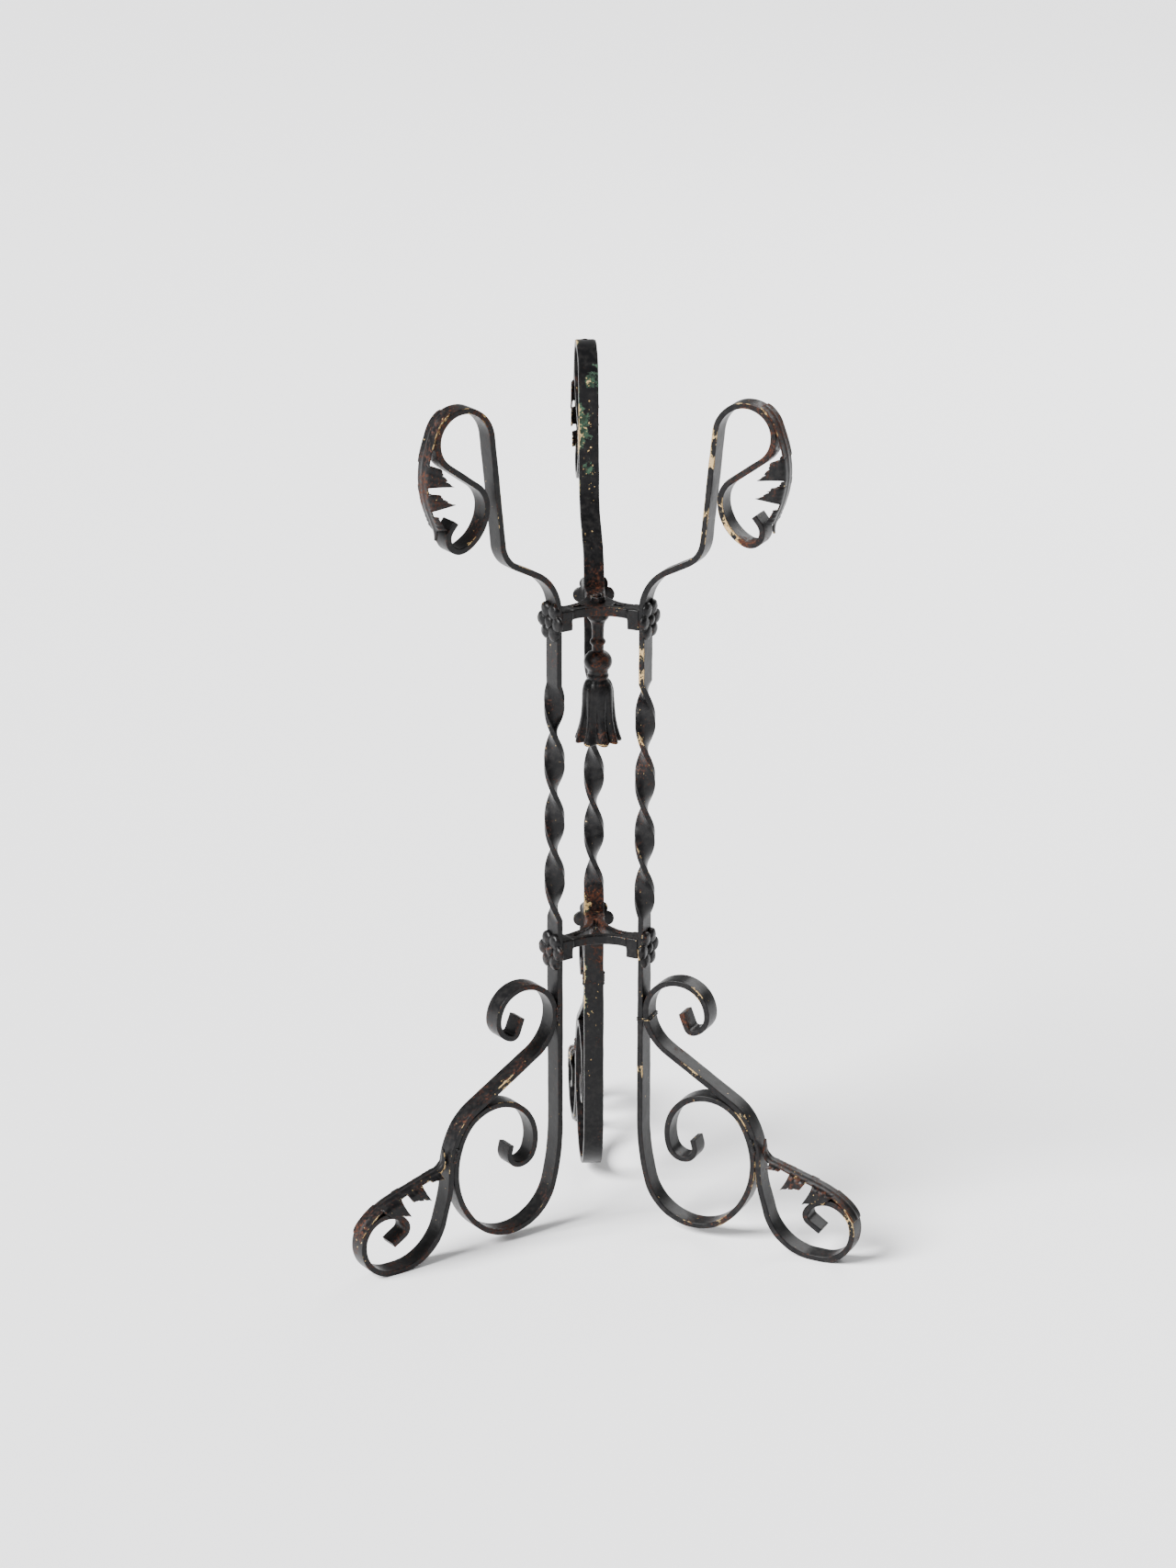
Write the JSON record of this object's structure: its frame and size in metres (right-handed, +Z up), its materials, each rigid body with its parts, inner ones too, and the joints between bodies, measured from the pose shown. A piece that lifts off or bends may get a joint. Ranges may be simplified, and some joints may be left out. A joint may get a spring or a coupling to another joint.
{
  "type": "wrought iron plant stand",
  "caption": "Wrought iron plant stand: twisted flat-bar legs with scrolled arms and feet, cast brackets, rosettes, acanthus leaves and a cast tassel between the uprights.",
  "frame": {"origin": "on the axis of the two brackets, at the level of the floor under the three feet", "axes": "+Z up; the rear leg points along +Y, the other two at 120 degrees to it, and the front of the stand faces -Y"},
  "size_m": [0.4088, 0.354, 0.7044],
  "materials": {
    "wrought_bar": "worn semi-gloss black paint over green and cream, with rust",
    "leaf_sheet": "worn black paint, rusty at the lobes",
    "rosette_casting": "black paint on rough castings",
    "bracket_casting": "black paint, rusty in the corners",
    "fastener_iron": "black paint, worn on the heads",
    "tassel_casting": "semi-gloss black paint, rusty at the rim",
    "weld_metal": "black paint over rough beads",
    "tie_wire": "dull and part rusted"
  },
  "bodies": {
    "root": {"leg_bar_rear": "wrought_bar", "leg_bar_left": "wrought_bar", "leg_bar_right": "wrought_bar", "brace_rear": "wrought_bar", "brace_left": "wrought_bar", "brace_right": "wrought_bar", "arm_leaf_rear": "leaf_sheet", "arm_leaf_left": "leaf_sheet", "arm_leaf_right": "leaf_sheet", "foot_leaf_rear": "leaf_sheet", "foot_leaf_left": "leaf_sheet", "foot_leaf_right": "leaf_sheet", "upper_rosette_rear": "rosette_casting", "upper_rosette_left": "rosette_casting", "upper_rosette_right": "rosette_casting", "lower_rosette_rear": "rosette_casting", "lower_rosette_left": "rosette_casting", "lower_rosette_right": "rosette_casting", "upper_bracket": "bracket_casting", "lower_bracket": "bracket_casting", "upper_bracket_rivets": "fastener_iron", "lower_bracket_rivets": "fastener_iron", "tassel_nut": "fastener_iron", "tassel": "tassel_casting", "brace_to_leg_welds": "weld_metal", "brace_to_scroll_welds": "weld_metal", "wire_tie": "tie_wire"}
  },
  "joints": []
}
